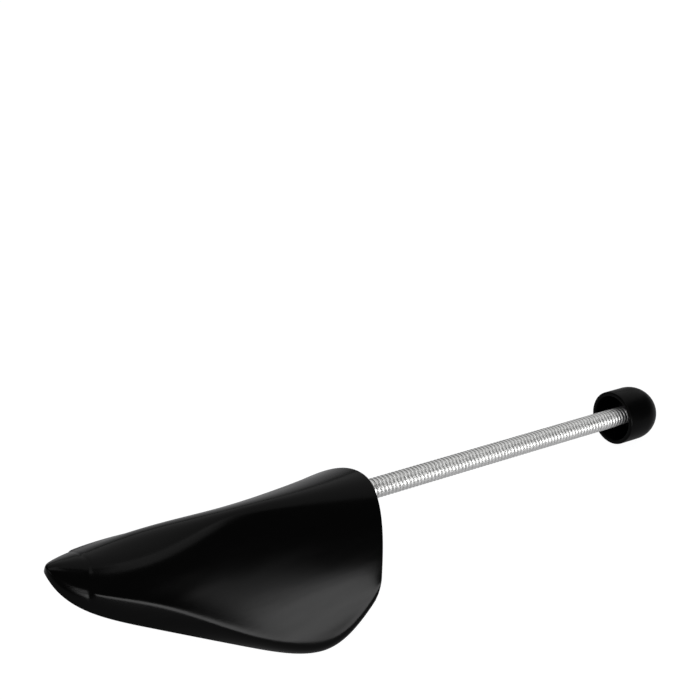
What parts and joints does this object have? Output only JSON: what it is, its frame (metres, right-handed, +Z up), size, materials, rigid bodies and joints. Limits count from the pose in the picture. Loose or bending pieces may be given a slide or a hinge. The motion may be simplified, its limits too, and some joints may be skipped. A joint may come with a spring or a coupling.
{
  "type": "shoe shaper",
  "caption": "Hollow toe shell and hollow heel knob joined by a long coil spring, pushed into a shoe to keep its shape.",
  "frame": {"origin": "centre of the bounding box at the height of the surface it lies on, at the side of the heel knob and the two rear corners of the shell", "axes": "+X from the tip of the toe to the heel knob, along the floor; +Y across; +Z up, from the shell's open underside to its crown"},
  "size_m": [0.3626, 0.0994, 0.0716],
  "materials": {
    "black_moulded_plastic": "smooth moulded, semi-gloss",
    "nickel_plated_spring_steel": "bright drawn wire, nickel plated"
  },
  "bodies": {
    "toe": {"toe_shell": "black_moulded_plastic"},
    "spring": {"spring": "nickel_plated_spring_steel"},
    "heel": {"heel_knob": "black_moulded_plastic"}
  },
  "joints": [
    {"name": "spring_front_bend", "type": "hinge", "parent": "toe", "child": "spring", "pos_m": [-0.00236, 0, 0.03776], "axis": [0, 1, 0], "range_deg": [-30, 60], "stiffness_Nm_per_rad": 0.6, "deforming": ["spring"]},
    {"name": "spring_rear_bend", "type": "hinge", "parent": "spring", "child": "heel", "pos_m": [0.10817, 0, 0.02313], "axis": [0, 1, 0], "range_deg": [-30, 60], "stiffness_Nm_per_rad": 0.6, "deforming": ["spring"]}
  ],
  "couplings": [
    {"joint": "spring_rear_bend", "follows": "spring_front_bend", "ratio": 1}
  ]
}
